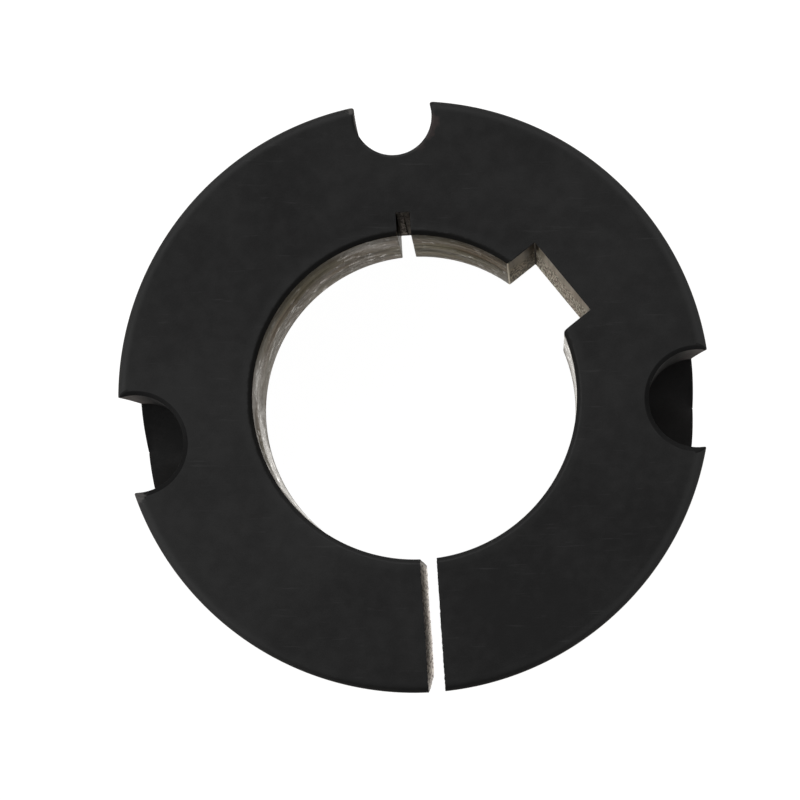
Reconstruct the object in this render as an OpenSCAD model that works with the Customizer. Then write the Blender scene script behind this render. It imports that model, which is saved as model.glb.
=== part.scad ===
// Split taper bush that clamps a pulley, sprocket or coupling hub on a keyed shaft.
// Millimetres. The small end stands on z = 0, the bore axis is Z and the keyway faces +X.
// Angles are counted about the bore axis from the middle of the keyway.

/* [Tapered body] */
// Diameter at the sharp corner of the large end
large_end_d = 69.85; // [66:0.05:90]
// Length along the bore axis
body_l = 31.75; // [26:0.25:60]
// Included angle of the taper, in degrees
taper_angle = 8; // [4:0.5:10]
// Leg of the chamfer round the large end
large_rim_chamfer = 0.6; // [0.2:0.05:1.2]
// Leg of the chamfer round the small end
small_rim_chamfer = 0.6; // [0.2:0.05:1.2]

/* [Bore] */
// Diameter of the shaft bore
bore_d = 38; // [24:1:44]
// Leg of the chamfer at both ends of the bore
bore_chamfer = 0.55; // [0.2:0.05:1.2]
// Width of the keyway
keyway_w = 10; // [6:0.5:14]
// Depth of the keyway outside the bore
keyway_depth = 3.4; // [2:0.1:4]

/* [Screw half-holes] */
// Diameter of the circle that the screw axes lie on
pitch_circle_d = 66.675; // [63:0.05:84]
// Diameter of the two plain half-holes, which clear the clamping screws
plain_d = 11.5; // [9:0.1:14]
// Depth of the plain half-holes down to the shoulder of the drill point
plain_depth = 20; // [12:0.5:24]
// Included angle of the drill point, in degrees
drill_point_angle = 118; // [90:1:150]
// Core diameter of the tapped half-hole, which takes the jacking screw
tapped_core_d = 9.3; // [7:0.1:11]
// Place of the tapped half-hole round the axis, in degrees
tapped_angle = 56; // [50:0.1:70]
// Angle from the tapped half-hole to each plain one, in degrees
plain_spread = 95.2; // [90:0.1:100]
// Leg of the chamfer at the mouth of each half-hole
mouth_chamfer = 0.4; // [0.1:0.05:0.8]

/* [Split and relief slot] */
// Width of the saw cut right through the wall, opposite the tapped half-hole
split_w = 1.9; // [1:0.1:3]
// Width of the relief slot in the bore
relief_w = 1.5; // [1:0.1:3]
// Depth of the relief slot outside the bore
relief_depth = 2.55; // [1:0.05:4]
// Place of the relief slot, counted from the tapped half-hole, in degrees
relief_shift = -1.1; // [-5:0.1:5]

/* [Hidden] */
$fn = 96;
half_taper = taper_angle / 2;
small_end_d = large_end_d - 2 * body_l * tan(half_taper);
pitch_r = pitch_circle_d / 2;
plain_angles = [tapped_angle + plain_spread, tapped_angle - plain_spread];
split_angle = tapped_angle + 180;
relief_angle = tapped_angle + relief_shift;
// How far a cutter runs past the surface that it leaves through
clear = 5;
cut_l = body_l + 2 * clear;
black = [0.15, 0.15, 0.15];

// Radius of the sharp taper at a height above the small end
function taper_r(z) = small_end_d / 2 + z * tan(half_taper);

// Turned blank: the tapered sleeve with its four turned edges
module sleeve() {
    bore_r = bore_d / 2;
    rotate_extrude()
        polygon([
            [bore_r + bore_chamfer, 0],
            [taper_r(0) - small_rim_chamfer, 0],
            [taper_r(small_rim_chamfer), small_rim_chamfer],
            [taper_r(body_l - large_rim_chamfer), body_l - large_rim_chamfer],
            [taper_r(body_l) - large_rim_chamfer, body_l],
            [bore_r + bore_chamfer, body_l],
            [bore_r, body_l - bore_chamfer],
            [bore_r, bore_chamfer]
        ]);
}

// Chamfer cutter for the mouth of a half-hole, at the large end
module mouth_cutter(d) {
    r = d / 2;
    translate([0, 0, body_l])
        rotate_extrude()
            polygon([
                [0, -mouth_chamfer - r],
                [r + mouth_chamfer + clear, clear],
                [0, clear]
            ]);
}

// Plain blind half-hole: a drill with its point, sunk from the large end
module plain_cutter() {
    r = plain_d / 2;
    shoulder = body_l - plain_depth;
    rotate_extrude()
        polygon([
            [0, shoulder - r / tan(drill_point_angle / 2)],
            [r, shoulder],
            [r, body_l + clear],
            [0, body_l + clear]
        ]);
    mouth_cutter(plain_d);
}

// Tapped half-hole: its thread's core, right through
module tapped_cutter() {
    translate([0, 0, -clear]) cylinder(h = cut_l, d = tapped_core_d);
    mouth_cutter(tapped_core_d);
}

// Slot along the bore axis, from one radius to another, centred on +X
module slot_cutter(width, from_r, to_r) {
    translate([from_r, -width / 2, -clear]) cube([to_r - from_r, width, cut_l]);
}

// The bush: one casting, turned, drilled, broached and sawn
module taper_bush() {
    color(black)
        difference() {
            sleeve();
            for (a = plain_angles)
                rotate(a) translate([pitch_r, 0, 0]) plain_cutter();
            rotate(tapped_angle) translate([pitch_r, 0, 0]) tapped_cutter();
            slot_cutter(keyway_w, 0, bore_d / 2 + keyway_depth);
            rotate(relief_angle) slot_cutter(relief_w, 0, bore_d / 2 + relief_depth);
            rotate(split_angle) slot_cutter(split_w, 0, large_end_d / 2 + clear);
        }
}

taper_bush();
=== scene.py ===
import math

import bmesh
import bpy
import numpy as np
from mathutils import Matrix, Vector


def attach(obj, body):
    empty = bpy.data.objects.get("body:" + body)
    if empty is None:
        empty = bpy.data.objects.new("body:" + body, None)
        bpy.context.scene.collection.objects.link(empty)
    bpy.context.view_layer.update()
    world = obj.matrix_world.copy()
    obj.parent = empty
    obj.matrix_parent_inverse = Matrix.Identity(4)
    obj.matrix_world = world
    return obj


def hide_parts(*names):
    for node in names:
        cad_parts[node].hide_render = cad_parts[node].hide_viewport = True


# Dressed model of a split taper bush, in metres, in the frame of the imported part:
# +Z is the bore axis and points to the large end, +X runs through the middle of the keyway.
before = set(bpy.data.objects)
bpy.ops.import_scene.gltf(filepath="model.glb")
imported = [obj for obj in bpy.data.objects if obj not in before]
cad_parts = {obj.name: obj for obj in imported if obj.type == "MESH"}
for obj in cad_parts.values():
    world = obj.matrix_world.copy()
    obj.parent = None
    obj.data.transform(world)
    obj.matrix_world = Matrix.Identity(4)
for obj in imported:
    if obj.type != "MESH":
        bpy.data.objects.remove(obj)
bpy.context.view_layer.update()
mm = 0.001
pictureTurn = 38.6   # degrees by which +X is turned counter-clockwise in the reference picture

bushSizes = {
    "largeEnd": 69.85,   # all lengths here are in millimetres, all angles in degrees
    "length": 31.75,
    "taper": 8.0,   # included angle of the cone
    "rimChamfer": 0.6,
    "bore": 38.2,   # 38 nominal
    "boreCentre": (-0.03, -0.12),
    "boreChamfer": 0.5,   # large end
    "smallBoreChamfer": 0.2,
    "keyWidth": 10.26,   # 10 nominal
    "keyShift": 0.21,   # how far its middle lies from the bore's own, counter-clockwise
    "keySkew": 0.15,   # how much deeper its clockwise end is
    "keyFloor": 22.5,   # from the bore axis
    "reliefWidth": 1.65,   # 1.5 nominal
    "reliefFloor": 21.82,   # from the bore axis
    "reliefShift": (0.05, 0.23),   # sideways from its radius, at the large end and at the small end
    "reliefAngle": 54.9,
    "splitWidth": 1.94,
    "splitAngle": 236.0,
    "screwCircle": 66.675,
    "drillPoint": 118.0,
    "faceEdge": 0.07,   # how far back an edge of the faces is rounded
    "rimEdge": 0.6,   # the same where the rim chamfer rolls over into the face
    "boreEdge": 0.16,
    "wallEdge": 0.11,   # how far back an edge along the bore axis is rounded
    "keyCorner": 0.45,   # the one beside the keyway that has lost its corner
    "innerEdge": 0.12,   # the same for the inner corners of the keyway and the slot
    "sharpAngle": 28,   # edges above this angle stay sharp
}

# Half-holes on the screw circle, counter-clockwise from the split. No depth means tapped right through.
# Darker stretches of their walls: direction in the picture, reach, share.
halfHoles = [
    {"angle": 320.8, "offset": (0.02, 0.04), "diameter": 11.5, "depth": 19.3, "chamfer": 0.45, "steps": 42,
     "corners": (0.25, 0.25), "worn": [], "darkerStretches": [(235.0, 6.5, 0.4)]},
    {"angle": 416.0, "offset": (0.0, -0.23), "diameter": 9.2, "depth": None, "chamfer": 0.28, "steps": 40,
     "corners": (0.55, 0.6), "worn": [(1, 0.9)], "darkerStretches": []},
    {"angle": 511.2, "offset": (0.04, 0.05), "diameter": 11.5, "depth": 19.3, "chamfer": 0.44, "steps": 42,
     "corners": (0.25, 0.3), "worn": [(1, 1.3)], "darkerStretches": [(-50.0, 4.0, 0.3)]},
]

finishes = ["blackFace", "blackHole", "turnedBore", "turnedCone", "broachedKeyway", "sawnSplit",
            "sootyRelief"]

top = bushSizes["length"]
rimRadius = bushSizes["largeEnd"] / 2
boreRadius = bushSizes["bore"] / 2
boreCentre = bushSizes["boreCentre"]
even = (1.0, 1.0, 1.0)   # a stretch that leaves a pattern as it is


def roundedProfile(corners, cutBacks):
    # corners are (height, radius) pairs; the ends only give a direction and are dropped
    heights = []
    radii = []
    for before, corner, after, cutBack in zip(corners, corners[1:], corners[2:], cutBacks):
        before, corner, after = (np.array(p, float) for p in (before, corner, after))
        start = corner + (before - corner) / np.linalg.norm(before - corner) * cutBack
        end = corner + (after - corner) / np.linalg.norm(after - corner) * cutBack
        for t in np.linspace(0, 1, 6):
            point = (1 - t) ** 2 * start + 2 * t * (1 - t) * corner + t ** 2 * end
            heights.append(point[0])
            radii.append(point[1])
    return np.array(heights), np.array(radii)


def valueAt(profile, z):
    return float(np.interp(z, profile[0], profile[1]))


def makeProfiles(size):
    top = size["length"]
    edge = size["faceEdge"]
    slope = math.tan(math.radians(size["taper"] / 2))
    small = size["largeEnd"] / 2 - top * slope
    rim = size["rimChamfer"]
    bore = size["bore"] / 2
    leg = size["boreChamfer"]
    smallLeg = size["smallBoreChamfer"]
    far = 1.0

    def straight(value):
        return roundedProfile([(0, value + far), (0, value), (top, value), (top, value + far)], [edge] * 2)

    profiles = {
        "rim": roundedProfile([(0, small - rim - far), (0, small - rim), (rim, small + rim * slope),
                               (top - rim, small + (top - rim) * slope),
                               (top, size["largeEnd"] / 2 - rim), (top, size["largeEnd"] / 2 - rim - far)],
                              [edge, edge, edge * 2, size["rimEdge"]]),
        "bore": roundedProfile([(0, bore + smallLeg + far), (0, bore + smallLeg), (smallLeg, bore),
                                (top - leg, bore), (top, bore + leg), (top, bore + leg + far)],
                               [edge, edge, edge, size["boreEdge"]]),
        "keyHalf": straight(size["keyWidth"] / 2),
        "keyFloor": straight(size["keyFloor"]),
        "reliefHalf": straight(size["reliefWidth"] / 2),
        "reliefFloor": straight(size["reliefFloor"]),
    }
    for hole in halfHoles:
        radius = hole["diameter"] / 2
        mouth = hole["chamfer"]
        start = [(0, radius + far), (0, radius)]
        if hole["depth"]:
            shoulder = top - hole["depth"]
            tip = shoulder - radius / math.tan(math.radians(size["drillPoint"] / 2))
            start = [(tip, 0), (shoulder, radius)]
            hole["tip"] = tip
            hole["shoulder"] = shoulder
        corners = start + [(top - mouth, radius), (top, radius + mouth), (top, radius + mouth + far)]
        profile = roundedProfile(corners, [edge] * (len(corners) - 2))
        if hole["depth"]:
            profile = np.append(tip, profile[0]), np.append(0.0, profile[1])
        hole["profile"] = profile
    return profiles


def arcPiece(centre, radius, fromAngle, toAngle, count, cuts, finish):
    # cuts say how far the arc stops short of its two ends, where the rounded corners are
    way = toAngle - fromAngle
    trims = [min(cut / max(radius, 1e-6), 0.2 * abs(way)) * np.sign(way) for cut in cuts]
    angles = np.linspace(fromAngle + trims[0], toAngle - trims[1], count)
    points = np.stack([centre[0] + radius * np.cos(angles), centre[1] + radius * np.sin(angles)], 1)
    ends = [(centre[0] + radius * math.cos(angle), centre[1] + radius * math.sin(angle))
            for angle in (fromAngle, toAngle)]
    return {"points": points, "ends": ends, "finish": finish}


def linePiece(start, end, count, cutStart, cutEnd, finish):
    start = np.array(start, float)
    end = np.array(end, float)
    length = np.linalg.norm(end - start)
    t = np.linspace(cutStart / length, 1 - cutEnd / length, count)[:, None]
    return {"points": start + (end - start) * t, "ends": [tuple(start), tuple(end)], "finish": finish}


def joinPieces(pieces, steps=4):
    # each corner between two pieces becomes a small curve, so all cross-sections have the same count
    points = []
    labels = []
    for piece, following in zip(pieces, pieces[1:] + pieces[:1]):
        points.extend(piece["points"])
        labels.extend([piece["finish"]] * len(piece["points"]))
        start = piece["points"][-1]
        end = following["points"][0]
        corner = np.array(piece["ends"][1])
        if piece["finish"] == "turnedCone":
            labels[-1] = following["finish"]   # the corners of the half-holes are blackened on both sides
        for t in np.linspace(0, 1, steps + 1)[1:-1]:
            points.append((1 - t) ** 2 * start + 2 * t * (1 - t) * corner + t ** 2 * end)
            labels.append(labels[-1])
    return np.array(points), labels


def turned(point, angle):
    c = math.cos(angle)
    s = math.sin(angle)
    return point[0] * c - point[1] * s, point[0] * s + point[1] * c


def holeCentre(hole, size):
    # distance from the bore axis and direction of a half-hole's own axis
    angle = math.radians(hole["angle"])
    along, across = turned(hole["offset"], -angle)
    along += size["screwCircle"] / 2
    return math.hypot(along, across), angle + math.atan2(across, along)


def meetingAngle(rim, circle, radius):
    # half of the angle that a half-hole's mouth takes of the rim
    return math.acos((rim ** 2 + circle ** 2 - radius ** 2) / (2 * rim * circle))


def outerSection(z, size, profiles):
    rim = valueAt(profiles["rim"], z)
    mouths = []
    for hole in halfHoles:
        radius = valueAt(hole["profile"], z) if z > hole.get("tip", -1) else 0.0
        circle, angle = holeCentre(hole, size)
        mouth = 0.0
        if radius > abs(rim - circle):
            mouth = meetingAngle(rim, circle, radius)
        mouths.append((angle, radius, mouth, circle))

    def cornerCuts(index):
        return [min(cut, 0.15 * mouths[index][1]) if mouths[index][2] else 0.0
                for cut in halfHoles[index]["corners"]]

    pieces = []
    for index, (angle, radius, mouth, circle) in enumerate(mouths):
        steps = halfHoles[index]["steps"]
        finish = "blackHole" if halfHoles[index]["depth"] else "tapped"
        cuts = cornerCuts(index)
        if mouth:
            start = math.atan2(rim * math.sin(mouth), rim * math.cos(mouth) - circle)
            centre = turned((circle, 0), angle)
            pieces.append(arcPiece(centre, radius, angle - start, angle + start - 2 * math.pi,
                                   steps, cuts, finish))
        else:
            pieces.append(arcPiece((0, 0), rim, angle, angle, steps, (0, 0), finish))
        last = index == len(mouths) - 1
        following = mouths[0] if last else mouths[index + 1]
        end = following[0] - following[2] + (2 * math.pi if last else 0)
        pieces.append(arcPiece((0, 0), rim, angle + mouth, end, 150 if last else 84,
                               (cuts[1], cornerCuts(0 if last else index + 1)[0]), "turnedCone"))
    return joinPieces(pieces)


def notchPieces(half, floor, bore, angle, shift, skew, counts, edges, inner, finish):
    # a straight-sided notch in the bore, walked counter-clockwise
    sides = shift - half, shift + half
    starts = [math.sqrt(bore ** 2 - side ** 2) for side in sides]
    corners = [turned(p, angle) for p in ((starts[0], sides[0]), (floor + skew / 2, sides[0]),
                                          (floor - skew / 2, sides[1]), (starts[1], sides[1]))]
    return [
        linePiece(corners[0], corners[1], counts[0], edges[0], inner, finish),
        linePiece(corners[1], corners[2], counts[1], inner, inner, finish),
        linePiece(corners[2], corners[3], counts[0], inner, edges[1], finish),
    ]


def innerSection(z, size, profiles):
    bore = valueAt(profiles["bore"], z)
    edge = size["wallEdge"]
    key = valueAt(profiles["keyHalf"], z)
    relief = valueAt(profiles["reliefHalf"], z)
    reliefAngle = math.radians(size["reliefAngle"])
    shift = size["keyShift"]
    lean = np.interp(z, (0, size["length"]), size["reliefShift"][::-1])
    reliefEnds = [reliefAngle + math.asin((lean + side * relief) / bore) for side in (-1, 1)]
    lost = size["keyCorner"]
    inner = size["innerEdge"]
    pieces = notchPieces(key, valueAt(profiles["keyFloor"], z), bore, 0.0, shift, size["keySkew"], (9, 16),
                         (lost, edge), inner, "broachedKeyway")
    pieces.append(arcPiece((0, 0), bore, math.asin((key + shift) / bore), reliefEnds[0], 30,
                           (edge, edge), "turnedBore"))
    pieces += notchPieces(relief, valueAt(profiles["reliefFloor"], z), bore, reliefAngle, lean, 0.0, (8, 4),
                          (edge, edge), inner, "sootyRelief")
    pieces.append(arcPiece((0, 0), bore, reliefEnds[1], 2 * math.pi - math.asin((key - shift) / bore),
                           210, (edge, lost), "turnedBore"))
    points, labels = joinPieces(pieces)
    return points + np.array(size["boreCentre"]), labels


def sectionHeights(size):
    top = size["length"]
    nearTop = [0, 0.004, 0.015, 0.035, 0.065, 0.1, 0.17, 0.25, 0.32, 0.38, 0.43, 0.5, 0.56, 0.62, 0.7]
    nearBottom = [0, 0.006, 0.025, 0.06, 0.12, 0.3, 0.5, 0.56, 0.62, 0.7]
    heights = nearBottom + [top - depth for depth in nearTop]
    blind = [hole for hole in halfHoles if hole["depth"]][0]
    vanish = blind["tip"] + 0.03
    heights += [vanish + offset for offset in (0, 0.04, 0.12, 0.25, 0.45, 0.7)]
    heights += list(np.arange(vanish + 1.0, blind["shoulder"] - 0.1, 0.3))
    heights += [blind["shoulder"] + offset for offset in (-0.06, 0, 0.07)]
    heights.sort()
    filled = [heights[0]]
    for height in heights[1:]:
        gap = height - filled[-1]
        if gap < 0.003:
            continue
        extra = int(gap / 1.25)
        filled += [filled[-1] + gap * (k + 1) / (extra + 1) for k in range(extra)]
        filled.append(height)
    return filled


def loftBush(size):
    profiles = makeProfiles(size)
    heights = sectionHeights(size)
    bm = bmesh.new()
    rings = {"outer": [], "inner": []}
    labels = {}
    for z in heights:
        for side, section in (("outer", outerSection), ("inner", innerSection)):
            points, labels[side] = section(z, size, profiles)
            rings[side].append([bm.verts.new((x * mm, y * mm, z * mm)) for x, y in points])
    for side in ("outer", "inner"):
        count = len(labels[side])
        for level in range(len(heights) - 1):
            middle = (heights[level] + heights[level + 1]) / 2
            nearEnd = min(middle, size["length"] - middle)
            for i in range(count):
                j = (i + 1) % count
                low = rings[side][level]
                high = rings[side][level + 1]
                face = bm.faces.new((low[i], low[j], high[j], high[i]))
                finish = labels[side][i]
                if finish == "turnedCone" and nearEnd < size["rimChamfer"]:
                    finish = "blackFace"
                if finish == "turnedBore" and nearEnd < size["boreChamfer"]:
                    finish = "blackFace"
                if side == "inner" and nearEnd < size["faceEdge"]:
                    finish = "blackFace"
                if finish == "tapped":
                    finish = "blackFace" if nearEnd < halfHoles[1]["chamfer"] else "blackHole"
                face.material_index = finishes.index(finish)
    bmesh.ops.remove_doubles(bm, verts=bm.verts, dist=1e-7)   # closes the tips of the blind holes
    for end in (0, size["length"] * mm):
        edges = [e for e in bm.edges if e.is_boundary and abs(e.verts[0].co.z - end) < 1e-7]
        bmesh.ops.triangle_fill(bm, use_beauty=True, use_dissolve=False, edges=edges)
    bmesh.ops.recalc_face_normals(bm, faces=bm.faces)
    mesh = bpy.data.meshes.new("taperBush")
    bm.to_mesh(mesh)
    bm.free()
    print("lofted", len(heights), "cross-sections,", len(mesh.polygons), "faces")
    return mesh


def setInputs(node, inputs):
    # inputs are plain values, or output sockets to be linked
    for key, value in inputs.items():
        if isinstance(value, bpy.types.NodeSocket):
            node.id_data.links.new(value, node.inputs[key])
        else:
            node.inputs[key].default_value = value


def setAll(thing, **settings):
    # returns the thing itself
    for name, value in settings.items():
        setattr(thing, name, value)
    return thing


def addNode(tree, kind, inputs=None, **settings):
    # returns the new node's outputs
    node = setAll(tree.nodes.new(kind), **settings)
    setInputs(node, inputs or {})
    return node.outputs


def treeOf(*values):
    # a node goes into the tree of the sockets that it takes
    return next(value.id_data for value in values if isinstance(value, bpy.types.NodeSocket))


def calc(operation, value, *others):
    # chained from the left
    for other in others:
        value = addNode(treeOf(value, other), "ShaderNodeMath", {0: value, 1: other}, operation=operation)[0]
    return value


def plus(*values):
    return calc("ADD", *values)


def minus(*values):
    return calc("SUBTRACT", *values)


def times(*values):
    return calc("MULTIPLY", *values)


def larger(*values):
    return calc("MAXIMUM", *values)


def weighted(pairs, total=0.0):
    # pairs of a value and its share
    for value, share in pairs:
        total = plus(total, times(value, share))
    return total


def vectorCalc(operation, *values):
    outputs = addNode(treeOf(*values), "ShaderNodeVectorMath", dict(enumerate(values)), operation=operation)
    return outputs["Value" if operation in ("LENGTH", "DISTANCE", "DOT_PRODUCT") else "Vector"]


def axesOf(vector):
    return addNode(vector.id_data, "ShaderNodeSeparateXYZ", {0: vector})


def combined(**parts):
    return addNode(treeOf(*parts.values()), "ShaderNodeCombineXYZ", parts)[0]


def noise(vector, scale, detail, roughness=0.5, **settings):
    return addNode(vector.id_data, "ShaderNodeTexNoise", {
        "Vector": vector, "Scale": scale, "Detail": detail, "Roughness": roughness}, **settings)[0]


def newTree(name, inputs, output):
    # inputs are labels under the kind of their sockets, the output is a label and its kind
    family = "GeometryNodeTree" if output[1] == "Geometry" else "ShaderNodeTree"
    tree = bpy.data.node_groups.new(name, family)
    for socket, labels in inputs.items():
        for label in labels:
            tree.interface.new_socket(label, in_out="INPUT", socket_type="NodeSocket" + socket)
    tree.interface.new_socket(output[0], in_out="OUTPUT", socket_type="NodeSocket" + output[1])
    return tree, addNode(tree, "NodeGroupInput")


def finishTree(tree, geometry, material):
    solid = addNode(tree, "GeometryNodeRealizeInstances", {"Geometry": geometry})
    painted = addNode(tree, "GeometryNodeSetMaterial", {"Geometry": solid[0], "Material": material})
    addNode(tree, "NodeGroupOutput", {"Geometry": painted[0]})


def addObject(name, data):
    thing = bpy.data.objects.new(name, data)
    bpy.context.collection.objects.link(thing)
    return thing


def evaluatedMesh(thing):
    return bpy.data.meshes.new_from_object(thing.evaluated_get(bpy.context.evaluated_depsgraph_get()))


def growMesh(tree, values):
    # runs a tree on an empty object and returns the result as a plain mesh
    holder = addObject(tree.name, bpy.data.meshes.new(tree.name))
    modifier = holder.modifiers.new(tree.name, "NODES")
    modifier.node_group = tree
    for item in tree.interface.items_tree:
        if item.in_out == "INPUT":
            modifier[item.identifier] = values[item.name]
    mesh = evaluatedMesh(holder)
    bpy.data.objects.remove(holder)
    return mesh


def threadTree():
    # groove of a screw thread: a tapered ridge swept along a helix, which fades out at the top
    tree, given = newTree("threadCutter", {
        "Float": ["Pitch", "Core Radius", "Root Radius", "Length", "Root Width", "Flank Slope", "Overlap",
                  "Run Out"], "Material": ["Material"]}, ("Geometry", "Geometry"))
    start = minus(given["Core Radius"], given["Overlap"])
    depth = minus(given["Root Radius"], start)
    rootHalf = times(given["Root Width"], 0.5)
    openHalf = plus(rootHalf, times(depth, given["Flank Slope"]))
    turns = calc("DIVIDE", given["Length"], given["Pitch"])
    helix = addNode(tree, "GeometryNodeCurveSpiral", {
        "Resolution": 96, "Rotations": turns, "Start Radius": start, "End Radius": start,
        "Height": given["Length"], "Reverse": True})   # right-handed
    upright = addNode(tree, "GeometryNodeSetCurveNormal", {"Curve": helix[0]}, mode="Z_UP")
    corners = [combined(X=x, Y=times(half, side))
               for x, half in ((depth, rootHalf), (0.0, openHalf)) for side in (-1, 1)]
    ridge = addNode(tree, "GeometryNodeCurvePrimitiveQuadrilateral", {
        "Point 1": corners[0], "Point 2": corners[1], "Point 3": corners[3], "Point 4": corners[2]},
        mode="POINTS")
    along = addNode(tree, "GeometryNodeSplineParameter")["Length"]
    whole = addNode(tree, "GeometryNodeSplineLength")[0]
    left = calc("DIVIDE", minus(whole, along), given["Run Out"])
    fade = addNode(tree, "ShaderNodeClamp", {"Value": left, "Min": 0.05, "Max": 1.0})
    swept = addNode(tree, "GeometryNodeCurveToMesh", {
        "Curve": upright[0], "Profile Curve": ridge[0], "Scale": fade[0], "Fill Caps": True})
    finishTree(tree, swept[0], given["Material"])
    return tree


def sawTree():
    # slab of the saw cut: its two broad sides carry the ragged tracks of the teeth
    tree, given = newTree("sawCutter", {
        "Vector": ["Size"], "Int": ["Radial Steps", "Axial Steps"], "Float": ["Wander", "Tooth Mark", "Tear"],
        "Material": ["Material"]}, ("Geometry", "Geometry"))
    slab = addNode(tree, "GeometryNodeMeshCube", {
        "Size": given["Size"], "Vertices X": given["Radial Steps"], "Vertices Y": 2,
        "Vertices Z": given["Axial Steps"]})
    place = addNode(tree, "GeometryNodeInputPosition")[0]
    waves = [(noise(vectorCalc("MULTIPLY", place, stretch), scale, 2.0, normalize=False), given[label])
             for label, stretch, scale in (("Wander", (1, 60, 0.5), 180), ("Tooth Mark", (1, 60, 0.12), 1900),
                                           ("Tear", (1, 60, 0.6), 2600))]
    ragged = addNode(tree, "GeometryNodeSetPosition", {
        "Geometry": slab[0], "Offset": combined(Y=weighted(waves))})
    finishTree(tree, ragged[0], given["Material"])
    return tree


def giveFinishes(mesh):
    for name in finishes:
        mesh.materials.append(bpy.data.materials[name])


def cutWith(bush, cutter, place, finish):
    # a cutter's faces take the finish of the cut that they make
    cutter.transform(place)
    cutter.materials.clear()
    giveFinishes(cutter)
    for polygon in cutter.polygons:
        polygon.material_index = finishes.index(finish)
    tool = addObject(cutter.name, cutter)
    setAll(bush.modifiers.new(cutter.name, "BOOLEAN"), operation="DIFFERENCE", solver="MANIFOLD", object=tool)
    mesh = evaluatedMesh(bush)
    bush.modifiers.clear()
    bush.data = mesh
    bpy.data.objects.remove(tool)


def spun(degrees, axis="Z"):
    return Matrix.Rotation(math.radians(degrees), 4, axis)


def moved(*offset):
    # offset in millimetres
    return Matrix.Translation([c * mm for c in offset])


threadSizes = {
    "pitch": 25.4 / 14,   # 14 threads per inch
    "core": 9.2,
    "root": 11.11,
    "rootWidth": 0.25,
    "flankAngle": 27.5,   # half the angle of a 55 degree thread form
    "overlap": 0.25,
    "below": 3.0,   # how far the helix starts below the small end
    "underFace": 0.25,   # where the run-out ends, below the large end
    "runOut": 1.3,   # turns over which the thread fades to the mouth
    "phase": 40.0,
}

sawSizes = {
    "depth": 24.0,
    "middle": 28.0,   # from the bore axis
    "extraLength": 4,   # beyond the bush, both ends together
    "swing": -0.75,   # the saw ran a little off the radius: degrees, about a point near the rim
    "pivot": 35.0,
    "lean": 0.13,   # and a little off the bore axis: degrees
    "shift": -0.017,
    "step": 0.13,
    "axialStep": 0.5,
    "wander": 0.05,
    "toothMark": 0.05,
    "tear": 0.04,
}


def makeBush(size):
    mesh = loftBush(size)
    giveFinishes(mesh)
    bush = addObject("taperBush", mesh)

    core = threadSizes["core"] / 2
    helixLength = size["length"] + threadSizes["below"] - threadSizes["underFace"]
    thread = growMesh(threadTree(), {
        "Pitch": threadSizes["pitch"] * mm, "Core Radius": core * mm,
        "Root Radius": threadSizes["root"] / 2 * mm, "Length": helixLength * mm,
        "Root Width": threadSizes["rootWidth"] * mm,
        "Flank Slope": math.tan(math.radians(threadSizes["flankAngle"])),
        "Overlap": threadSizes["overlap"] * mm, "Run Out": threadSizes["runOut"] * 2 * math.pi * core * mm,
        "Material": bpy.data.materials["blackHole"]})
    circle, angle = holeCentre(halfHoles[1], size)
    place = (Matrix.Rotation(angle, 4, "Z") @ moved(circle, 0, -threadSizes["below"])
             @ spun(threadSizes["phase"]))
    cutWith(bush, thread, place, "blackHole")
    print("tapped the half-hole,", len(bush.data.polygons), "faces")

    slabLength = size["length"] + sawSizes["extraLength"]
    slab = growMesh(sawTree(), {
        "Size": (sawSizes["depth"] * mm, size["splitWidth"] * mm, slabLength * mm),
        "Radial Steps": int(sawSizes["depth"] / sawSizes["step"]),
        "Axial Steps": int(slabLength / sawSizes["axialStep"]),
        "Wander": sawSizes["wander"] * mm, "Tooth Mark": sawSizes["toothMark"] * mm,
        "Tear": sawSizes["tear"] * mm, "Material": bpy.data.materials["sawnSplit"]})
    pivot = sawSizes["pivot"]
    place = (spun(size["splitAngle"]) @ moved(pivot, sawSizes["shift"], size["length"] / 2)
             @ spun(sawSizes["swing"]) @ spun(sawSizes["lean"], "X")
             @ moved(sawSizes["middle"] - pivot, 0, 0))
    cutWith(bush, slab, place, "sawnSplit")
    print("sawed the split,", len(bush.data.polygons), "faces")

    bush.data.shade_smooth()
    bush.data.set_sharp_from_angle(angle=math.radians(size["sharpAngle"]))
    bush.modifiers.new("weighted", "WEIGHTED_NORMAL").keep_sharp = True
    mesh = evaluatedMesh(bush)
    bush.modifiers.clear()
    bush.data = mesh
    mesh.name = "taperBush"
    return bush


def paint(red, green, blue):
    # sRGB values from 0 to 255 as a linear colour
    values = [c / 255 for c in (red, green, blue)]
    return tuple(v / 12.92 if v <= 0.04045 else ((v + 0.055) / 1.055) ** 2.4 for v in values) + (1.0,)


def grey(value):
    return paint(value, value, value)


def mixed(factor, low, high, blend="MIX"):
    return addNode(treeOf(factor, low, high), "ShaderNodeMix", {0: factor, 6: low, 7: high},
                   data_type="RGBA", blend_type=blend)[2]


def spread(value, fromLow, fromHigh, toLow=0.0, toHigh=1.0):
    return addNode(value.id_data, "ShaderNodeMapRange", {
        "Value": value, "From Min": fromLow, "From Max": fromHigh, "To Min": toLow, "To Max": toHigh},
        interpolation_type="SMOOTHSTEP")[0]


def ramp(distance, start, end, low=0.0, high=1.0):
    # start and end in millimetres
    return spread(distance, start * mm, end * mm, low, high)


def rotated(vector, degrees):
    return addNode(vector.id_data, "ShaderNodeVectorRotate",
                   {"Vector": vector, "Angle": math.radians(degrees)}, rotation_type="Z_AXIS")[0]


def squashed(place, height=0.0):
    # a position with its height left out, or only a share of it kept
    return vectorCalc("MULTIPLY", place, (1, 1, height))


def useGroup(name, place, **inputs):
    return addNode(place.id_data, "ShaderNodeGroup", {"Vector": place, **inputs},
                   node_tree=bpy.data.node_groups[name])[0]


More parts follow.
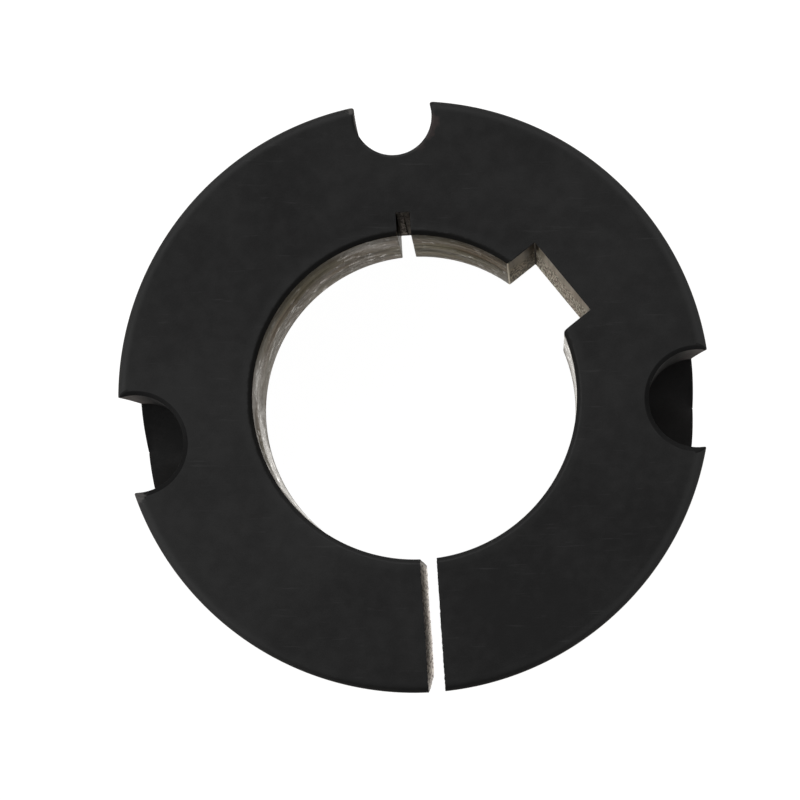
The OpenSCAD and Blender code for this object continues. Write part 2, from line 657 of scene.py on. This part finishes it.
def tracks(place, stretch, scale, low=0.3, high=0.7):
    return useGroup("toolTracks", place, Stretch=stretch, Scale=scale, Low=low, High=high)


def gathered(place, centre, reach, raggedness):
    # centre and reach in millimetres
    centre = [c * mm for c in centre]
    return useGroup("gathered", place, Centre=centre, Reach=reach * mm, Raggedness=raggedness)


def makeShaderGroups():
    # coordinates round the bore axis: arc length, radius, height; their seam lies in the split
    group, given = newTree("aroundAxis", {"Vector": ["Vector"]}, ("Vector", "Vector"))
    axes = axesOf(rotated(given["Vector"], 180 - bushSizes["splitAngle"]))
    radius = calc("SQRT", plus(times(axes["X"], axes["X"]), times(axes["Y"], axes["Y"])), 0.0)
    arc = times(calc("ARCTAN2", axes["Y"], axes["X"]), boreRadius * mm)
    addNode(group, "NodeGroupOutput", {"Vector": combined(X=arc, Y=radius, Z=axes["Z"])})

    # streaks left by a tool, or plain mottling where the stretch is even
    group, given = newTree("toolTracks", {
        "Vector": ["Vector", "Stretch"], "Float": ["Scale", "Low", "High"]}, ("Factor", "Float"))
    waves = noise(vectorCalc("MULTIPLY", given["Vector"], given["Stretch"]), given["Scale"], 3.0, 0.6)
    addNode(group, "NodeGroupOutput", {"Factor": spread(waves, given["Low"], given["High"])})

    # scattered specks: only some cells of the pattern hold one, each of its own size
    group, given = newTree("specks", {
        "Vector": ["Vector"], "Float": ["Scale", "Share", "Reach"]}, ("Mask", "Float"))
    cells = addNode(group, "ShaderNodeTexVoronoi", {
        "Vector": given["Vector"], "Scale": given["Scale"], "Randomness": 1.0}, feature="F1")
    pick = addNode(group, "ShaderNodeSeparateColor", {0: cells["Color"]})
    chosen = calc("LESS_THAN", pick[0], given["Share"])
    reach = times(given["Reach"], plus(pick[1], 0.3))
    spot = spread(calc("DIVIDE", cells["Distance"], reach), 0.6, 1.0, 1.0, 0.0)
    addNode(group, "NodeGroupOutput", {"Mask": times(chosen, spot)})

    # faint greenish and reddish clouds over bare metal
    group, given = newTree("tarnish", {
        "Vector": ["Vector"], "Color": ["Color"], "Float": ["Scale"]}, ("Color", "Color"))
    clouds = noise(given["Vector"], given["Scale"], 2.0)
    hue = mixed(spread(clouds, 0.36, 0.64), bareMetal["greenish"], bareMetal["reddish"])
    addNode(group, "NodeGroupOutput", {"Color": mixed(1.0, given["Color"], hue, "MULTIPLY")})

    # a mask that gathers round a point, for wear, rust, darker patches, painted shade and painted highlights;
    # a squashed vector makes it gather along an edge
    group, given = newTree("gathered", {
        "Vector": ["Vector", "Centre"], "Float": ["Reach", "Raggedness"]}, ("Mask", "Float"))
    distance = vectorCalc("DISTANCE", given["Vector"], given["Centre"])
    ragged = times(minus(noise(given["Vector"], 2400.0, 3.0), 0.5), given["Raggedness"])
    shaken = plus(calc("DIVIDE", distance, given["Reach"]), ragged)
    addNode(group, "NodeGroupOutput", {"Mask": spread(shaken, 0.55, 1.0, 1.0, 0.0)})
    print("made the shader groups")


def newMaterial(name, metallic):
    material = bpy.data.materials.new(name)
    material.use_nodes = True
    shader = material.node_tree.nodes["Principled BSDF"]
    setInputs(shader, {"Metallic": metallic})
    return shader, addNode(material.node_tree, "ShaderNodeTexCoord")["Object"]


def bumped(shader, layers, distance):
    # layers are (height, share) pairs, the distance is in millimetres
    bump = addNode(shader.id_data, "ShaderNodeBump", {
        "Strength": 1.0, "Distance": distance * mm, "Height": weighted(layers)})
    setInputs(shader, {"Normal": bump[0]})


blackCoat = {
    "dark": grey(28),
    "light": grey(39),
    "paintedFaceFalloff": (160.0, 0.25),   # painted light falloff: the face is painted a little lighter toward this direction in the picture
    # painted light falloff: the half-holes are painted lighter toward the right of the picture, where more
    # light falls into them
    "paintedHoleFalloff": (0.0, 0.5),
    # painted glare: the lighter grey of the rim chamfer and of the face beside the bore
    "paintedGlare": grey(52),
    # dark grey for painted shade on the chamfers and for darker stretches of the half-holes' walls
    "darkening": paint(13, 12, 10),
    "faceTone": [(15.0, 3.0, 0.25), (202.0, 3.0, 0.3), (135.0, 3.0, -0.25), (300.0, 3.0, -0.25)],
    # below: directions in the picture, narrowness, share
    # painted glare on the rim chamfer
    "paintedRimGlare": [(-5.0, 2.0, 0.85), (218.0, 8.0, 0.6), (312.0, 10.0, 0.3)],
    # painted shade on the rim chamfer at the bottom of the picture
    "paintedRimShade": [(272.0, 5.0, 0.4)],
    # painted shade on stretches of the bore chamfer
    "paintedBoreShade": [(188.0, 4.0, 0.5), (72.0, 8.0, 0.4), (112.0, 2.0, 0.25), (14.0, 14.0, 0.4)],
    "holePale": paint(144, 137, 133),
    "holePaleReach": (31.2, 35.4),   # from the bore axis
    "holePaleHeights": (12.5, 15.0),   # the paler tone fades out downward between them
    "mouthDark": grey(22),
    "mouthLight": grey(29),
    # painted light: the top of each half-hole's mouth chamfer is painted lighter
    "paintedLightMouthTop": grey(37),
    "holeDark": grey(31),
    "holeLight": paint(48, 47, 47),
    "streak": grey(48),
    "wornThrough": paint(94, 92, 90),
    "rust": paint(74, 56, 46),
    "edgeRust": paint(60, 52, 51),
    # round the tapped hole: direction in the picture, reach, share
    "rustyEdge": [(352.0, 1.2, 0.6), (335.0, 1.0, 0.5), (312.0, 0.9, 0.3)],
}


def holeSide(hole, direction, height=0):
    # a point of a half-hole's wall, in a direction of the reference picture
    circle, angle = holeCentre(hole, bushSizes)
    turn = math.radians(direction - pictureTurn)
    radius = hole["diameter"] / 2
    return (circle * math.cos(angle) + radius * math.cos(turn),
            circle * math.sin(angle) + radius * math.sin(turn), height)


def alongPicture(vector, angle):
    # component of a vector along a direction in the reference picture, 0 to the right
    turn = math.radians(angle - pictureTurn)
    return vectorCalc("DOT_PRODUCT", vector, (math.cos(turn), math.sin(turn), 0))


def lobes(heading, stretches, total=0.0):
    # adds soft stretches round the bore axis, each centred on a direction in the picture
    return weighted([(calc("POWER", larger(alongPicture(heading, angle), 0.0), narrowness), share)
                     for angle, narrowness, share in stretches], total)


def mixedNear(coat, place, centre, reach, raggedness, share, colour):
    return mixed(times(gathered(place, centre, reach, raggedness), share), coat, colour)


def edgeGlareAndShade(place, coat):
    # painted glare: beside the rim and the bore the coat is painted a little lighter; painted shade darkens
    # some stretches of the rim and bore chamfers
    flat = squashed(place)
    radius = vectorCalc("LENGTH", flat)
    heading = vectorCalc("NORMALIZE", flat)
    # painted glare along the rim chamfer and beside the bore
    paintedGlare = times(ramp(radius, rimRadius - 1.5, rimRadius - 0.45),
                   lobes(heading, blackCoat["paintedRimGlare"], 0.05))
    paintedGlare = larger(paintedGlare, ramp(radius, boreRadius + 0.8, boreRadius + 1.8, 0.18, 0.0))
    coat = mixed(paintedGlare, coat, blackCoat["paintedGlare"])
    # painted shade on the rim chamfer at the bottom of the picture and on stretches of the bore chamfer
    paintedRimShade = times(ramp(radius, rimRadius - 0.8, rimRadius - 0.4), lobes(heading, blackCoat["paintedRimShade"]))
    shaken = plus(radius, times(tracks(place, even, 1500.0), 0.25 * mm))
    paintedBoreShade = times(ramp(shaken, boreRadius + 0.5, boreRadius + 0.75, 1.0, 0.0),
                      lobes(heading, blackCoat["paintedBoreShade"], 0.05))
    return mixed(larger(paintedRimShade, paintedBoreShade), coat, blackCoat["darkening"])


def holeWallsAndMouths(place, coat, shade, blotches):
    # the half-holes' walls are paler toward the rim and the large end, and their mouths have a coat of their
    # own with painted light at the top
    flat = squashed(place)
    height = axesOf(place)["Z"]
    paler = times(ramp(vectorCalc("LENGTH", flat), *blackCoat["holePaleReach"]),
                 ramp(height, *blackCoat["holePaleHeights"]), spread(blotches, 0.0, 1.0, 0.8, 1.1))
    coat = mixed(paler, coat, blackCoat["holePale"])
    ring = mixed(shade, blackCoat["mouthDark"], blackCoat["mouthLight"])
    for hole in halfHoles:
        for direction, reach, share in hole["darkerStretches"]:
            coat = mixedNear(coat, flat, holeSide(hole, direction), reach, 0.2, share, blackCoat["darkening"])
        # painted light: the top of each mouth chamfer is painted lighter
        ring = mixedNear(ring, flat, holeSide(hole, 90.0), 9, 0.2, 0.8, blackCoat["paintedLightMouthTop"])
    return mixed(ramp(height, top - 0.6, top - 0.5), coat, ring)


def wornCorners(place):
    # the coat is rubbed through at the corners where the half-holes meet the rim
    worn = 0.0
    rim = rimRadius - bushSizes["rimChamfer"] * 0.5
    for hole in halfHoles:
        circle, middle = holeCentre(hole, bushSizes)
        mouth = meetingAngle(rim, circle, hole["diameter"] / 2 + hole["chamfer"] * 0.5)
        for side, reach in hole["worn"]:
            corner = (*turned((rim, 0), middle + side * mouth), top - 0.25)
            worn = larger(worn, gathered(place, corner, reach, 1.1))
    return worn


def makeBlackCoat(name, dark, light, shine, roughness, paintedFalloff):
    shader, place = newMaterial(name, 0.0)
    blotches = tracks(place, even, 620.0, 0.3, 0.75)
    grain = tracks(place, even, 5200.0, 0.25, 0.75)
    # the shade carries a painted light falloff across the picture
    shade = weighted([(tracks(place, even, 95.0), 0.45), (blotches, 0.3), (grain, 0.25),
                      (alongPicture(place, paintedFalloff[0]), paintedFalloff[1] / (rimRadius * mm))])
    if name == "blackHole":
        coat = holeWallsAndMouths(place, mixed(shade, dark, light), shade, blotches)
    else:
        shade = lobes(vectorCalc("NORMALIZE", squashed(place)), blackCoat["faceTone"], shade)
        lengthwise = combined(X=alongPicture(place, 0), Y=alongPicture(place, 90), Z=axesOf(place)["Z"])
        streaks = tracks(lengthwise, (0.14, 1.6, 1.0), 1500.0, 0.62, 0.78)
        coat = mixed(times(streaks, 0.6), mixed(shade, dark, light), blackCoat["streak"])
        coat = edgeGlareAndShade(place, coat)
        for direction, reach, share in blackCoat["rustyEdge"]:
            coat = mixedNear(coat, place, holeSide(halfHoles[1], direction, top), reach, 0.8, share,
                           blackCoat["edgeRust"])
    flecks = useGroup("specks", place, Scale=330.0, Share=0.05, Reach=0.035)
    coat = mixed(times(flecks, 0.55), coat, blackCoat["rust"])
    coat = mixed(times(wornCorners(place), 0.5), coat, blackCoat["wornThrough"])
    setInputs(shader, {"Specular IOR Level": shine, "Base Color": coat,
                       "Roughness": spread(blotches, 0.0, 1.0, roughness, roughness + 0.1)})
    bumped(shader, [(grain, 0.6), (blotches, 0.4)], 0.008)


bareMetal = {
    "boreDark": paint(88, 84, 76),
    "boreLight": paint(172, 165, 152),
    "coneDark": paint(104, 93, 84),
    "coneLight": paint(142, 130, 119),
    "keySideDark": paint(75, 75, 69),
    "keySideLight": paint(200, 197, 190),
    "keyFloorDark": paint(128, 119, 112),
    "keyFloorLight": paint(255, 252, 246),
    # painted shade in the keyway's inner corners
    "keyCornerShade": paint(24, 20, 15),
    # painted highlight along the rubbed corner between the bore and the keyway
    "rubbedCornerHighlight": paint(252, 248, 238),
    "sawDark": paint(60, 46, 40),
    "sawLight": paint(255, 250, 244),
    # these keep walls that are seen along their length from glaring
    "edgeTint": (0.12, 0.1, 0.07, 1.0),
    "boreEdgeTint": (0.12, 0.105, 0.081, 1.0),
    # duller stretches of the bore wall, or brighter ones with a share below zero
    "dull": [   # angle, depth below the large end, reach in mm, share
        (30.0, 6.0, 13.0, 0.65), (36.0, 20.0, 12.0, 0.4), (54.0, 8.0, 8.0, -0.25), (72.0, 7.0, 4.0, -0.05),
        (84.0, 14.0, 8.0, 0.25), (106.0, 7.0, 11.0, 0.6), (97.0, 26.0, 6.0, 0.15), (112.0, 26.0, 7.0, -0.15),
        (126.0, 8.0, 6.0, -0.4), (142.0, 12.0, 7.0, -0.2), (157.0, 8.0, 6.0, 0.6), (170.0, 20.0, 10.0, -1.0),
        (339.0, 12.0, 15.0, -0.65),
    ],
    "flash": 2.2,   # strength of the short bright streaks of the bore wall
    "greenish": (0.94, 0.98, 0.95, 1.0),
    "reddish": (1.045, 0.985, 0.972, 1.0),
    "keyCornerTopDark": paint(46, 46, 42),
    "sheenIor": 1.02,
    "sheenRoughness": 0.05,
}


def setWallShine(shader, tint):
    setInputs(shader, {"Specular Tint": tint, "Coat IOR": bareMetal["sheenIor"],
                       "Coat Roughness": bareMetal["sheenRoughness"]})


def keySide(side):
    # how far a side wall of the keyway lies from the X axis
    return bushSizes["keyShift"] + side * bushSizes["keyWidth"] / 2


def rubbedCornerHighlight(place, metal):
    # painted highlight: the rounded corner between the bore and the keyway is rubbed bright and painted as a
    # bright line along its length
    along = math.sqrt(boreRadius ** 2 - keySide(1) ** 2)
    corner = (along + boreCentre[0], keySide(1) + boreCentre[1], 0)
    return mixed(gathered(squashed(place), corner, 0.19, 0.9), metal, bareMetal["rubbedCornerHighlight"])


def dullPatches(place):
    # 1 is the ordinary bore wall; duller stretches lie below it and brighter ones above
    patches = []
    for angle, depth, reach, share in bareMetal["dull"]:
        centre = (*turned((boreRadius, 0), math.radians(angle)), top - depth)
        patches.append((gathered(place, centre, reach, 0.3), share))
    return minus(1.0, weighted(patches))


def makeTurnedMetal(name, dark, light, fine, topDarkReach, sheen):
    shader, place = newMaterial(name, 1.0)
    around = useGroup("aroundAxis", place)
    rings = tracks(around, (0.02, 0.4, 1.0), fine)
    bands = tracks(around, (0.3, 0.4, 1.0), 420.0, 0.36, 0.66)
    grit = tracks(around, (5.0, 0.4, 1.0), 900.0, 0.35)
    # the metal is darker toward the large end
    topDarkening = ramp(plus(axesOf(place)["Z"], times(bands, 1.6 * mm)), top - topDarkReach, top - 0.1)
    toneScale = minus(1.0, times(topDarkening, 0.6))
    shade = times(weighted([(rings, 0.42), (bands, 0.43), (grit, 0.15)]), toneScale)
    metal = mixed(shade, dark, light)
    roughness = spread(rings, 0.0, 1.0, 0.38, 0.26)
    if sheen:
        # lengthwise scuffs, which only shine when the wall is seen along its length
        lines = tracks(around, (0.6, 0.4, 1.0), 420.0, 0.4, 0.6)
        scuffs = tracks(around, (3.0, 0.4, 0.45), 900.0, 0.38, 0.64)
        flashes = tracks(around, (0.5, 0.4, 0.28), 1200.0, 0.58, 0.65)
        patches = tracks(around, (1.0, 0.4, 0.2), 90.0, 0.35, 0.65)
        glint = weighted([(rings, 0.1), (lines, 0.45), (scuffs, 0.45), (flashes, bareMetal["flash"])])
        bright = dullPatches(place)
        glint = times(plus(0.03, times(glint, toneScale, 0.5)), plus(0.7, times(patches, 0.5)), bright)
        setInputs(shader, {"Coat Weight": glint})
        setWallShine(shader, bareMetal["boreEdgeTint"])
        metal = rubbedCornerHighlight(place, useGroup("tarnish", place, Color=metal, Scale=130.0))
        roughness = larger(plus(roughness, times(minus(1.0, bright), 0.3)), 0.16)
    setInputs(shader, {"Base Color": metal, "Roughness": roughness})
    bumped(shader, [(rings, 0.6), (bands, 0.4)], 0.012)


def makeBroachedKeyway():
    shader, place = newMaterial("broachedKeyway", 1.0)
    lines = tracks(place, (1.0, 1.0, 0.03), 1500.0)
    torn = tracks(place, (1.0, 1.0, 0.14), 3600.0, 0.43, 0.57)
    stains = tracks(place, (1.0, 1.0, 0.25), 330.0, 0.35, 0.65)
    axes = axesOf(place)
    rough = ramp(plus(axes["Z"], times(stains, 5 * mm)), 0.6 * top, 0.85 * top, 1.0, 0.0)
    smooth = weighted([(lines, 0.3), (stains, 0.15)], 0.3)
    shade = addNode(shader.id_data, "ShaderNodeMix", {0: rough, 2: smooth, 3: torn})[0]
    keyFloor = bushSizes["keyFloor"]
    onFloor = ramp(axes["X"], keyFloor - 0.4, keyFloor - 0.28)
    metal = mixed(onFloor, mixed(shade, bareMetal["keySideDark"], bareMetal["keySideLight"]),
                  mixed(shade, bareMetal["keyFloorDark"], bareMetal["keyFloorLight"]))
    flat = squashed(place)
    corners = [(keyFloor + boreCentre[0], keySide(side) + boreCentre[1]) for side in (1, -1)]
    # painted shade: the keyway's inner corners are darkened where the side walls meet the floor
    for corner in corners:
        wide = times(gathered(flat, (*corner, 0), 2.0, 0.4), minus(1.0, onFloor), 0.45)
        metal = mixed(wide, metal, bareMetal["keyCornerShade"])
        metal = mixed(gathered(flat, (*corner, 0), 0.3, 0.4), metal, bareMetal["keyCornerShade"])
    metal = useGroup("tarnish", place, Color=metal, Scale=420.0)
    # darker along the keyway's corner toward the large end
    metal = mixedNear(metal, squashed(place, 0.1), (*corners[0], 0.1 * top), 1.0, 0.5, 0.92,
                    bareMetal["keyCornerTopDark"])
    setInputs(shader, {"Base Color": rubbedCornerHighlight(place, metal),
                       "Roughness": spread(rough, 0.0, 1.0, 0.34, 0.4)})
    setWallShine(shader, bareMetal["edgeTint"])
    bumped(shader, [(lines, 0.4), (times(rough, torn), 0.8)], 0.02)


def makeSawnSplit():
    shader, place = newMaterial("sawnSplit", 1.0)
    teeth = tracks(place, (1.0, 1.0, 0.07), 2400.0, 0.42, 0.56)
    torn = tracks(place, (1.0, 1.0, 0.2), 4200.0, 0.42, 0.56)
    radius = vectorCalc("LENGTH", squashed(place))
    # darker next to the bore and toward the large end, lighter toward the rim
    toneScale = times(ramp(radius, boreRadius + 0.25, boreRadius + 0.5, 0.25, 1.0),
                  ramp(axesOf(place)["Z"], 0.15 * top, top, 1.3, 0.6),
                  ramp(radius, 1.1 * boreRadius, 1.8 * boreRadius, 0.93, 1.15))
    shade = times(weighted([(teeth, 0.65), (torn, 0.35)]), toneScale)
    setInputs(shader, {"Base Color": mixed(shade, bareMetal["sawDark"], bareMetal["sawLight"]),
                       "Roughness": spread(torn, 0.0, 1.0, 0.56, 0.36)})
    bumped(shader, [(teeth, 0.5), (torn, 0.5)], 0.03)


reliefFinish = {
    "dark": paint(26, 22, 18),
    "light": paint(134, 132, 136),
    "lowLight": paint(190, 186, 186),
    "brown": paint(86, 83, 81),
    "endDark": paint(44, 42, 45),
    "line": paint(8, 7, 6),
    "sootSide": 19.9,   # on the walls the soot starts this far from the bore axis
    "sootDepth": 17.0,   # and reaches this far down
    "lineAt": (0.05, 0.13),   # a dark line down the slot's end, off its middle at the top and at the bottom
    "bandFrom": 0.36,   # left of this the slot's end is black; the band narrows downward
    "bandDrift": 0.72,
}


def makeSootyRelief():
    shader, place = newMaterial("sootyRelief", 1.0)
    grit = tracks(place, (1.0, 1.0, 0.2), 3600.0, 0.4, 0.62)
    axes = axesOf(rotated(place, -bushSizes["reliefAngle"]))
    floor = bushSizes["reliefFloor"]
    onEnd = ramp(axes["X"], floor - 0.35, floor - 0.2)
    depth = calc("DIVIDE", minus(top * mm, axes["Z"]), top * mm)
    deep = reliefFinish["sootDepth"] / top
    darkening = times(spread(plus(depth, times(grit, 0.1)), deep * 0.6, deep, 1.0, 0.0),
                 ramp(axes["X"], reliefFinish["sootSide"] - 0.5, reliefFinish["sootSide"]))
    side = mixed(darkening, mixed(grit, bareMetal["boreDark"], bareMetal["boreLight"]), reliefFinish["dark"])
    middle = spread(depth, 0.0, 1.0, *[offset * mm for offset in reliefFinish["lineAt"]])
    across = plus(minus(axes["Y"], middle), times(minus(grit, 0.5), 0.08 * mm))
    end = mixed(grit, reliefFinish["endDark"], mixed(depth, reliefFinish["light"], reliefFinish["lowLight"]))
    end = mixed(ramp(across, -0.1, 0.0, 0.6, 0.0), end, reliefFinish["brown"])
    line = times(ramp(calc("ABSOLUTE", across, 0.0), 0.05, 0.13, 1.0, 0.0),
                 spread(depth, 0.0, 0.5, 0.35, 0.9))
    end = mixed(line, end, reliefFinish["line"])
    band = minus(axes["Y"], times(depth, reliefFinish["bandDrift"] * mm))
    band = ramp(plus(band, times(grit, 0.1 * mm)), reliefFinish["bandFrom"] - 0.05,
                reliefFinish["bandFrom"] + 0.1)
    end = mixed(band, end, reliefFinish["dark"])
    setInputs(shader, {"Metallic": minus(1.0, times(line, onEnd)), "Specular IOR Level": 0.0,
                       "Base Color": mixed(onEnd, side, end),
                       "Coat Weight": times(minus(1.0, darkening), minus(1.0, onEnd), 0.25),
                       "Roughness": spread(grit, 0.0, 1.0, 0.5, 0.4)})
    setWallShine(shader, bareMetal["edgeTint"])
    bumped(shader, [(grit, 1.0)], 0.02)


makeShaderGroups()
makeBlackCoat("blackFace", blackCoat["dark"], blackCoat["light"], shine=0.1, roughness=0.42,
              paintedFalloff=blackCoat["paintedFaceFalloff"])
makeBlackCoat("blackHole", blackCoat["holeDark"], blackCoat["holeLight"], shine=0.03, roughness=0.75,
              paintedFalloff=blackCoat["paintedHoleFalloff"])
makeTurnedMetal("turnedBore", bareMetal["boreDark"], bareMetal["boreLight"], fine=5200.0, topDarkReach=8.0,
                sheen=True)
makeTurnedMetal("turnedCone", bareMetal["coneDark"], bareMetal["coneLight"], fine=6500.0, topDarkReach=1.5,
                sheen=False)
makeBroachedKeyway()
makeSawnSplit()
makeSootyRelief()
print("made", len(finishes), "finishes")

bush = makeBush(bushSizes)
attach(bush, "root")
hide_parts("taper_bush")


studio = {
    "cameraPlace": (-9.673, -37.398, 656.47),   # millimetres
    "cameraAim": (-1.579, 0.629, 31.75),
    "lens": 239.65,
    "floorSize": 4.0,
    "floorGap": 0.02,   # millimetres between it and the small end
    "glow": 0.985,
    "warmGlow": (1.0, 0.97, 0.92, 1.0),   # the floor as the bare metal reflects it
    "keyTurn": 55,   # degrees counter-clockwise from the top of the picture
    "keyRise": 38,
    "keyDistance": 0.9,
    "keySize": 0.6,
    "keyPower": 0.5,
    "sky": [(0, 2.75), (90, 2.35), (180, 0.12), (270, 0.25)],   # turn, brightness of each side of the studio
    "horizon": 0.1,
    "ceiling": 0.32,
}


def lookAt(place, aim, upAngle):
    back = (Vector(place) - Vector(aim)).normalized()
    hint = Vector((math.cos(math.radians(upAngle)), math.sin(math.radians(upAngle)), 0))
    right = hint.cross(back).normalized()
    matrix = Matrix((right, back.cross(right), back)).transposed().to_4x4()
    matrix.translation = Vector(place)
    return matrix


def makeCamera():
    data = setAll(bpy.data.cameras.new("camera"), lens=studio["lens"], sensor_width=36,
                  sensor_fit="HORIZONTAL", clip_start=0.01, clip_end=20)
    camera = addObject("camera", data)
    place, aim = ([c * mm for c in studio[name]] for name in ("cameraPlace", "cameraAim"))
    camera.matrix_world = lookAt(place, aim, 90 - pictureTurn)
    bpy.context.scene.camera = camera


def makeFloor():
    half = studio["floorSize"] / 2
    level = -studio["floorGap"] * mm
    mesh = bpy.data.meshes.new("floor")
    corners = [(x, y, level) for x, y in ((-half, -half), (half, -half), (half, half), (-half, half))]
    mesh.from_pydata(corners, [], [(0, 1, 2, 3)])
    material = bpy.data.materials.new("paleFloor")
    material.use_nodes = True
    mesh.materials.append(material)
    tree = material.node_tree
    shader = tree.nodes["Principled BSDF"]
    setInputs(shader, {"Base Color": grey(225), "Roughness": 0.9})
    rays = addNode(tree, "ShaderNodeLightPath")
    seen = larger(calc("LESS_THAN", rays["Ray Length"], 2 * studio["floorGap"] * mm),
                  rays["Is Camera Ray"], rays["Is Glossy Ray"], rays["Is Transmission Ray"])
    tone = mixed(rays["Is Glossy Ray"], (1, 1, 1, 1), studio["warmGlow"])
    glow = addNode(tree, "ShaderNodeEmission", {"Color": tone, "Strength": studio["glow"]})
    soft = addNode(tree, "ShaderNodeBsdfDiffuse", {"Color": (0.12, 0.12, 0.12, 1)})
    bright = addNode(tree, "ShaderNodeAddShader", {0: glow[0], 1: soft[0]})
    lit = addNode(tree, "ShaderNodeMixShader", {0: seen, 1: shader.outputs[0], 2: bright[0]})
    # from below, the camera looks through it at the small end
    under = times(addNode(tree, "ShaderNodeNewGeometry")["Backfacing"], rays["Is Camera Ray"])
    clear = addNode(tree, "ShaderNodeBsdfTransparent")
    both = addNode(tree, "ShaderNodeMixShader", {0: under, 1: lit[0], 2: clear[0]})
    setInputs(tree.nodes["Material Output"], {"Surface": both[0]})
    addObject("floor", mesh)


def makeLights():
    # broad soft light from the top and the left of the picture, with a weak softbox between them
    angle = math.radians(90 - pictureTurn + studio["keyTurn"])
    rise = math.radians(studio["keyRise"])
    toKey = Vector((math.cos(angle) * math.cos(rise), math.sin(angle) * math.cos(rise), math.sin(rise)))
    data = setAll(bpy.data.lights.new("softbox", "AREA"), shape="SQUARE", size=studio["keySize"],
                  energy=studio["keyPower"])
    addObject("softbox", data).matrix_world = (Matrix.Translation(toKey * studio["keyDistance"])
                                               @ toKey.to_track_quat("Z", "Y").to_matrix().to_4x4())
    world = bpy.data.worlds.new("studio")
    world.use_nodes = True
    tree = world.node_tree
    direction = addNode(tree, "ShaderNodeTexCoord")["Generated"]
    heading = vectorCalc("NORMALIZE", squashed(direction))
    height = axesOf(direction)["Z"]
    low = spread(height, 0.2, 0.5, 1.0, 0.0)
    high = spread(height, 0.75, 0.93)
    middle = minus(1.0, low, high)
    strength = weighted([(low, studio["horizon"]), (high, studio["ceiling"])])
    for turn, brightness in studio["sky"]:
        side = larger(alongPicture(heading, 90 + turn), 0.0)
        strength = plus(strength, times(middle, times(side, side, brightness)))
    behind = addNode(tree, "ShaderNodeLightPath")["Is Camera Ray"]   # plain white there
    strength = addNode(tree, "ShaderNodeMix", {0: behind, 2: strength, 3: 1.0})[0]
    setInputs(tree.nodes["Background"], {"Color": (1, 1, 1, 1), "Strength": strength})
    bpy.context.scene.world = world


makeCamera()
makeFloor()
makeLights()
bpy.context.scene.view_settings.view_transform = "Standard"
